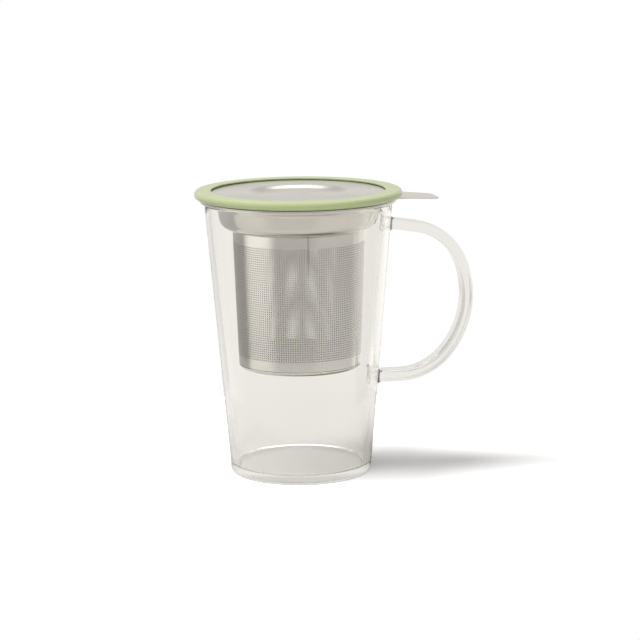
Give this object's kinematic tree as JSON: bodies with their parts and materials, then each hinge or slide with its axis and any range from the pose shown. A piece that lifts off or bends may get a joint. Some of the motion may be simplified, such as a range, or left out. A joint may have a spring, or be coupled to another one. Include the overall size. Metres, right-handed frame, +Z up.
{
  "type": "lidded tea mug with infuser",
  "caption": "Tapered glass tea mug with a glass strap handle, a lift-out perforated steel infuser hung in its rim, and a lift-off steel lid edged in silicone.",
  "frame": {"origin": "on the mug's axis, in the plane of its foot", "axes": "+Z up along the mug's axis, +X towards the handle and the infuser's tab, +Y to the side"},
  "size_m": [0.1227, 0.09, 0.1244],
  "materials": {
    "glass": "clear borosilicate, fire-polished",
    "satin_steel": "satin stainless sheet",
    "turned_steel": "fine concentric brushing",
    "silicone": "soft matte, pale green"
  },
  "bodies": {
    "mug": {"mug_body": "glass", "handle": "glass"},
    "basket": {"basket_collar": "satin_steel", "basket_rim": "satin_steel", "basket_sleeve": "satin_steel", "basket_base": "satin_steel"},
    "lid": {"lid_plate": "turned_steel", "lid_ring": "silicone"}
  },
  "joints": [
    {"name": "basket_lift", "type": "slide", "parent": "mug", "child": "basket", "axis": [0, 0, 1], "range_m": [0, 0.09]},
    {"name": "lid_lift", "type": "slide", "parent": "basket", "child": "lid", "axis": [0, 0, 1], "range_m": [0, 0.06]}
  ]
}
